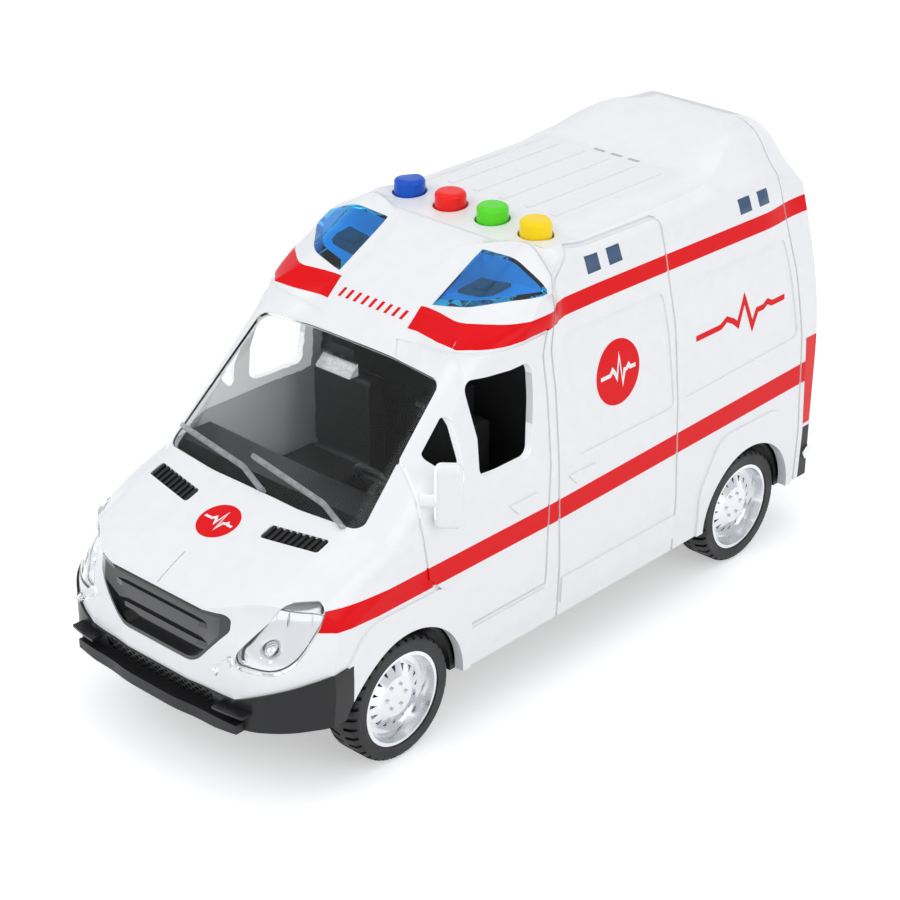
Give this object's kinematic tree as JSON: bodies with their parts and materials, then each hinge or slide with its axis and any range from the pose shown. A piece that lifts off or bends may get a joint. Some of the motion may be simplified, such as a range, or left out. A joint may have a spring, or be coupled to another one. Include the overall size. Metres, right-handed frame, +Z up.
{
  "type": "toy ambulance van",
  "caption": "White moulded toy ambulance van with blue roof lights, roof push buttons, clear windshield, black bumpers and rolling wheels on two axles.",
  "frame": {"origin": "on the ground under the middle of the bounding box", "axes": "front is -Y, the vehicle's left side is +X, +Z up"},
  "size_m": [0.0928, 0.208, 0.113],
  "materials": {
    "white_plastic": "glossy",
    "black_gloss_plastic": "glossy",
    "black_plastic": "satin",
    "clear_plastic": "clear",
    "blue_clear_plastic": "clear tinted",
    "red_clear_plastic": "clear tinted",
    "smoked_plastic": "glossy",
    "tyre_rubber": "matte",
    "chromed_plastic": "polished",
    "axle_steel": "plain",
    "board": "matte",
    "blue_plastic": "glossy",
    "red_plastic": "glossy",
    "green_plastic": "glossy",
    "yellow_plastic": "glossy"
  },
  "bodies": {
    "van_body": {"cab_shell": "white_plastic", "box_shell": "white_plastic", "tail_shell": "white_plastic", "mirrors": "white_plastic", "front_bumper": "black_plastic", "rear_bumper": "black_plastic", "grille": "black_gloss_plastic", "windshield": "clear_plastic", "headlamps": "clear_plastic", "beacon_lenses": "blue_clear_plastic", "tail_lamps": "red_clear_plastic", "side_panes": "smoked_plastic", "button_blue": "blue_plastic", "button_red": "red_plastic", "button_green": "green_plastic", "button_yellow": "yellow_plastic", "chassis": "black_plastic", "battery_cover": "black_plastic", "cab_floor": "black_plastic", "bulkhead": "black_plastic", "dashboard": "black_plastic", "seats": "black_plastic", "steering_wheel": "black_plastic", "beacon_boards": "board", "hood_vents": "black_plastic", "lamp_bowls": "chromed_plastic", "marker_lamps": "clear_plastic", "rear_reflectors": "chromed_plastic"},
    "front_wheelset": {"front_axle": "axle_steel", "front_left_hub": "chromed_plastic", "front_left_tyre": "tyre_rubber", "front_right_hub": "chromed_plastic", "front_right_tyre": "tyre_rubber"},
    "rear_wheelset": {"rear_axle": "axle_steel", "rear_left_hub": "chromed_plastic", "rear_left_tyre": "tyre_rubber", "rear_right_hub": "chromed_plastic", "rear_right_tyre": "tyre_rubber"}
  },
  "joints": [
    {"name": "front_wheels_roll", "type": "hinge", "parent": "van_body", "child": "front_wheelset", "pos_m": [0, -0.0607, 0.0156], "axis": [1, 0, 0], "continuous": true},
    {"name": "rear_wheels_roll", "type": "hinge", "parent": "van_body", "child": "rear_wheelset", "pos_m": [0, 0.0693, 0.0156], "axis": [1, 0, 0], "continuous": true}
  ]
}
